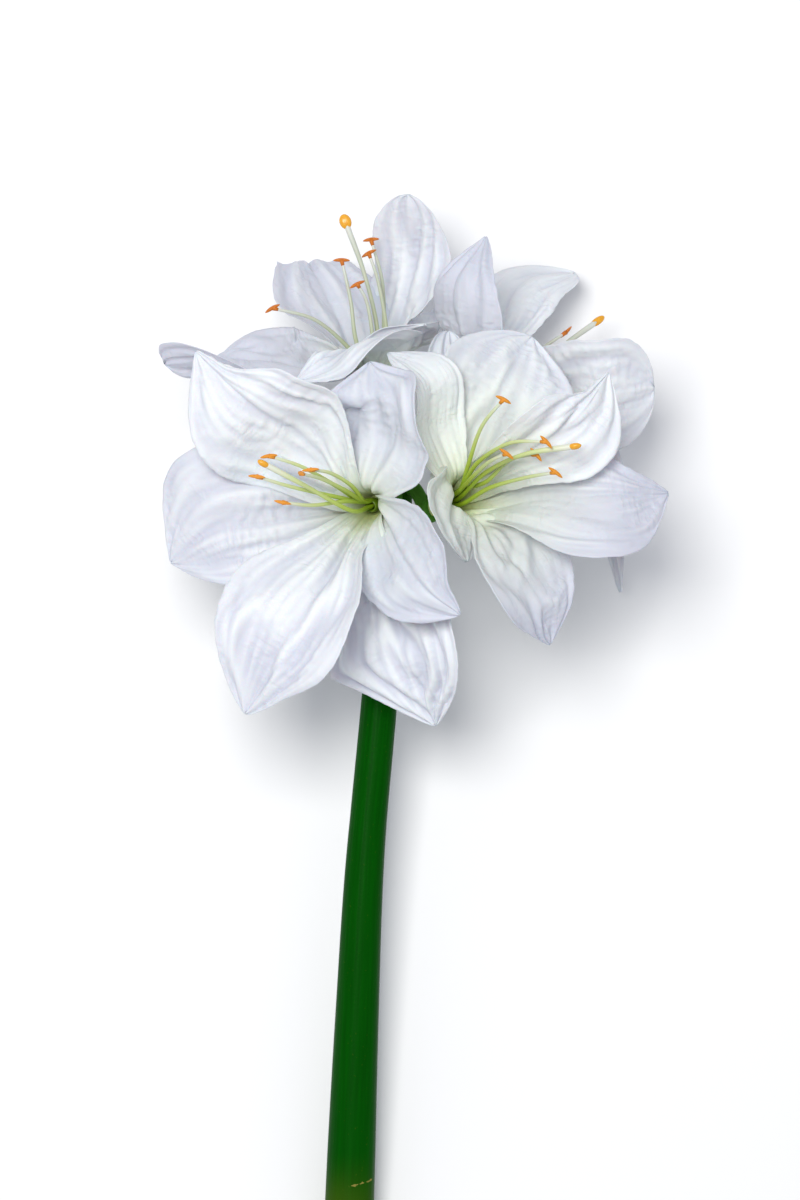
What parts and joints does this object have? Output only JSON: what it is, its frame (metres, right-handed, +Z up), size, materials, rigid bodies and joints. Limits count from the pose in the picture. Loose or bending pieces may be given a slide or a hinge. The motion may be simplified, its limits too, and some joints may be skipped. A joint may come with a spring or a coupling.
{
  "type": "cut amaryllis flower stem",
  "caption": "Cut amaryllis lying on its side: a smooth leafless stem ending in an umbel of large white trumpet blooms with long curved stamens.",
  "frame": {"origin": "on the surface that the flower lies on, under the centre of its bounding box", "axes": "+Y along the stem from the cut end to the blooms, +Z up from the surface, +X to the right as the picture's side faces up"},
  "size_m": [0.2246, 0.5022, 0.1607],
  "materials": {
    "scape": "dark satin green, smooth",
    "pedicel": "leaf green, satin",
    "petal": "white petal with embossed veins, yellow-green toward the throat",
    "stamen": "yellow-green filaments, orange anthers",
    "pistil": "pale green style, orange stigma"
  },
  "bodies": {
    "root": {"scape": "scape", "front_left_pedicel": "pedicel", "front_left_perianth": "petal", "front_left_stamens": "stamen", "front_left_pistil": "pistil", "front_right_pedicel": "pedicel", "front_right_perianth": "petal", "front_right_stamens": "stamen", "front_right_pistil": "pistil", "back_left_pedicel": "pedicel", "back_left_perianth": "petal", "back_left_stamens": "stamen", "back_left_pistil": "pistil", "back_right_pedicel": "pedicel", "back_right_perianth": "petal", "back_right_stamens": "stamen", "back_right_pistil": "pistil"}
  },
  "joints": []
}
